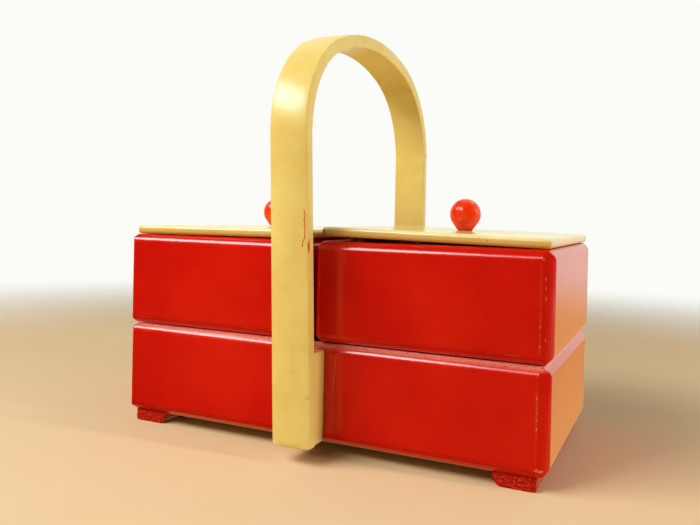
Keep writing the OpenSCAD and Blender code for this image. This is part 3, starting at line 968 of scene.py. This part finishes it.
def spacer_mesh(node):
    """The spacer with its exposed faces a little uneven, as cut and painted by hand."""
    low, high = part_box(node)
    soft = 1.2 * MM
    back = low.y > 0
    near_box, near_strip = (low.y, high.y) if back else (high.y, low.y)
    depth = near_strip - near_box
    across, up = 12, 28
    top = high.z - low.z

    def make(bm):
        levels = [0.0, 0.25 * soft, soft]
        levels += [soft + (top - 2 * soft) * k / up for k in range(1, up)]
        levels += [top - soft, top - 0.3 * soft, top]
        rings = []
        for level in levels:
            edge = min(level, top - level)
            drawn = soft - math.sqrt(max(0, soft ** 2 - (soft - min(edge, soft)) ** 2))
            half = (high.x - low.x) / 2 - drawn
            ring = [(half, k / across) for k in range(across + 1)]
            ring += [(-half, 1 - k / across) for k in range(across + 1)]
            points = []
            for x, share in ring:
                point = Vector((x, near_box + depth * share, low.z + level))
                wave = noise.noise(Vector((x * 90, point.y * 60, point.z * 75))) * 0.45 * MM
                point.x -= math.copysign(abs(wave), x)
                points.append(point)
            rings.append(points)
        loft(bm, rings)

    return make


# Putting the pieces together

def dress():
    wood_x = bare_wood("bare_wood_lengthwise", "x")
    wood_y = bare_wood("bare_wood_crosswise", "y")
    wood_z = bare_wood("bare_wood_upright", "z")
    metal = steel("zinc_steel")
    cream = cream_paint("cream_enamel_handle", CREAM_HANDLE, 0.25, handle_wear)
    lid_cream = cream_paint("cream_enamel_lid", CREAM_LID, 0.11, lid_wear_and_shade)
    orange = lacquer("orange_lacquer")
    sawn = sawn_red("red_on_sawn_wood")

    boxes = {
        "base": ["base_front_board", "base_back_board", "base_left_end", "base_right_end"],
        "right_tray": ["right_tray_front_board", "right_tray_back_board",
                       "right_tray_inner_end", "right_tray_outer_end"],
        "left_tray": ["left_tray_front_board", "left_tray_back_board",
                      "left_tray_inner_end", "left_tray_outer_end"],
    }
    for name, boards in boxes.items():
        at_right_end = name != "left_tray"
        shell = Shell(
            *corners_of(boards), CORNER_BEVEL,
            RIGHT_CORNER_BEVEL if at_right_end else CORNER_BEVEL,
            FOOT_BEVEL if name == "base" else EDGE_BEVEL, EDGE_BEVEL)
        paint = red_paint("red_enamel_" + name, shell, RUBS[name], name == "base")
        for node in boards:
            inside = wood_y if node.endswith("_end") else wood_x
            soften_board(node, shell, "red_boards", [paint, inside])

    for node in ("left_runner", "right_runner"):
        piece = new_piece(node + "_sawn", runner_mesh(node), "base", "red_runners", [sawn], node)
        smooth(piece, 40)

    piece = new_piece("handle_bow_bent", handle_mesh, "base", "cream_handle", [cream], "handle_bow")
    smooth(piece, 40)
    for node in ("front_spacer_block", "back_spacer_block"):
        piece = new_piece(
            node + "_painted", spacer_mesh(node), "base", "cream_handle", [cream], node)
        smooth(piece, 35)

    for side, name in ((1, "right"), (-1, "left")):
        lid = name + "_lid"
        piece = new_piece(
            lid + "_panel_rounded", lid_mesh(side), lid, "cream_lids", [lid_cream], lid + "_panel")
        smooth(piece, 30)
        piece = new_piece(
            name + "_knob_turned", knob_mesh(side), lid, "orange_knobs", [orange], name + "_knob")
        smooth(piece, 50)

    plain = {
        wood_x: ["base_floor", "left_tray_floor", "right_tray_floor"],
        wood_y: ["left_lid_battens", "right_lid_battens"],
        wood_z: ["front_pivot_post", "back_pivot_post", "left_pivot_block", "right_pivot_block"],
        metal: ["runner_screws", "handle_screws", "right_pivot_screw", "left_pivot_screw",
                "pivot_washers", "left_knob_screw", "right_knob_screw"],
    }
    for material, names in plain.items():
        for node in names:
            piece = NODES[node]
            piece.data.materials.clear()
            piece.data.materials.append(material)
            if material is not metal:
                piece.modifiers.new("joined corners", "WELD").merge_threshold = 0.00002
                add_bevel(piece, 0.5 * MM, 2, limit_method="ANGLE", harden_normals=False)


# Studio

LAMPS_AIM_AT = Vector((0, 0, 0.13))
# Seen directly, the world is the wall's warm white
WALL_SEEN = (0.965, 0.973, 0.930)
FLOOR_COLOUR = (0.74, 0.54, 0.30)
FLOOR_RADIUS = 1.5
FLOOR_FADES_FROM = 0.55
FLOOR_GONE = FLOOR_RADIUS * 0.97
# What gloss mirrors above and below the horizon
WALL_MIRRORED = (1.0, 0.98, 0.84)
FLOOR_MIRRORED = (0.84, 0.60, 0.20)
# Even light from all round on what isn't glossy
FILL = 0.13
# Azimuth 0 is the front and 90 the right. The narrow light on the leg's side isn't mirrored,
# or it would draw a hard line on each corner.
LAMPS = {
    "key_light": {"azimuth": -42, "elevation": 41, "distance": 1.6, "size": (1.15, 0.5),
                  "watts": 25.5},
    "front_light": {"azimuth": -10, "elevation": 38, "distance": 1.6, "size": (0.5, 0.35),
                    "watts": 3.2},
    "leg_light": {"azimuth": 88, "elevation": 16, "distance": 1.6, "size": (0.12, 0.7),
                  "watts": 12.5, "mirrored": False},
    "side_light": {"azimuth": 112, "elevation": 18, "distance": 1.6, "size": (0.9, 0.8),
                   "watts": 2.5},
    "glint": {"azimuth": 151, "elevation": 50, "distance": 1.4, "size": (0.16, 0.16),
              "watts": 1.0},
}


def direction(azimuth, elevation):
    """Unit vector towards a light."""
    a, e = math.radians(azimuth), math.radians(elevation)
    return Vector((math.sin(a) * math.cos(e), -math.cos(a) * math.cos(e), math.sin(e)))


def add_lamp(name, azimuth, elevation, distance, size, watts, mirrored=True):
    lamp = bpy.data.lights.new(name, "AREA")
    lamp.shape = "RECTANGLE"
    lamp.size, lamp.size_y = size
    lamp.energy = watts
    holder = bpy.data.objects.new(name, lamp)
    towards = direction(azimuth, elevation)
    holder.location = LAMPS_AIM_AT + towards * distance
    holder.rotation_mode = "QUATERNION"
    holder.rotation_quaternion = towards.to_track_quat("Z", "Y")
    holder.visible_camera = False
    holder.visible_glossy = mirrored
    scene.collection.objects.link(holder)


def studio():
    for name, lamp in LAMPS.items():
        add_lamp(name, **lamp)

    world = bpy.data.worlds.new("studio")
    scene.world = world
    world.use_nodes = True
    sky = Nodes(world.node_tree)
    background = sky.tree.nodes["Background"]

    # Gloss sees white above a warm floor behind the carrier, and little in front of it,
    # like a room lit from its far side. Diffuse light gets a plain fill.
    path = sky.node("ShaderNodeLightPath")
    towards = sky.split(sky.node("ShaderNodeTexCoord").outputs["Generated"])
    over_horizon = sky.ramp(towards[2], -0.15, -0.05)
    around = sky.mix(over_horizon, FLOOR_MIRRORED, WALL_MIRRORED)
    behind = sky.ramp(towards[1], -0.15, 0.6, 0.03, 1.0)
    mirrored = sky.mix(behind, (0, 0, 0), around)
    gloss = sky.math(
        "MAXIMUM", path.outputs["Is Glossy Ray"], path.outputs["Is Transmission Ray"])
    unseen = sky.mix(gloss, (FILL, FILL, FILL), mirrored)
    seen = sky.mix(path.outputs["Is Camera Ray"], unseen, WALL_SEEN)
    sky.feed(background.inputs["Color"], seen)
    background.inputs["Strength"].default_value = 1.0


def floor():
    """A pale disc that fades out, so that the background has no hard edge."""
    bm = bmesh.new()
    bmesh.ops.create_circle(bm, cap_ends=True, radius=FLOOR_RADIUS, segments=96)
    mesh = bpy.data.meshes.new("floor")
    bm.to_mesh(mesh)
    bm.free()
    disc = bpy.data.objects.new("floor", mesh)
    # Gloss mirrors the world's floor colour instead
    disc.visible_glossy = False
    scene.collection.objects.link(disc)
    material = bpy.data.materials.new("pale_floor")
    material.use_nodes = True
    ground = Nodes(material.node_tree)
    bsdf = ground.tree.nodes["Principled BSDF"]
    bsdf.inputs["Base Color"].default_value = (*FLOOR_COLOUR, 1)
    bsdf.inputs["Roughness"].default_value = 0.75
    bsdf.inputs["Specular IOR Level"].default_value = 0.2
    place = ground.node("ShaderNodeTexCoord").outputs["Object"]
    far = ground.vector_math("LENGTH", place).outputs["Value"]
    clear = ground.node("ShaderNodeBsdfTransparent")
    mixed = ground.node("ShaderNodeMixShader")
    ground.feed(mixed.inputs[0], ground.ramp(far, FLOOR_FADES_FROM, FLOOR_GONE))
    ground.feed(mixed.inputs[1], bsdf.outputs[0])
    ground.feed(mixed.inputs[2], clear.outputs[0])
    ground.feed(ground.tree.nodes["Material Output"].inputs["Surface"], mixed.outputs[0])
    disc.data.materials.append(material)


def camera():
    lens = bpy.data.cameras.new("camera")
    lens.sensor_width = 36
    lens.sensor_fit = "HORIZONTAL"
    lens.lens = CAMERA_LENS
    lens.shift_y = CAMERA_SHIFT_Y
    lens.clip_start, lens.clip_end = 0.01, 20
    a, p, r = (math.radians(v) for v in (CAMERA_AZIMUTH, CAMERA_PITCH, CAMERA_ROLL))
    ahead = Vector((-math.sin(a) * math.cos(p), math.cos(a) * math.cos(p), -math.sin(p)))
    level = Vector((math.cos(a), math.sin(a), 0))
    over = level.cross(ahead)
    right = level * math.cos(r) + over * math.sin(r)
    above = over * math.cos(r) - level * math.sin(r)
    holder = bpy.data.objects.new("camera", lens)
    holder.matrix_world = Matrix((
        (right.x, above.x, -ahead.x, CAMERA_AT[0]),
        (right.y, above.y, -ahead.y, CAMERA_AT[1]),
        (right.z, above.z, -ahead.z, CAMERA_AT[2]),
        (0, 0, 0, 1)))
    scene.collection.objects.link(holder)
    scene.camera = holder


scene.view_settings.view_transform = "Standard"
dress()
studio()
floor()
camera()
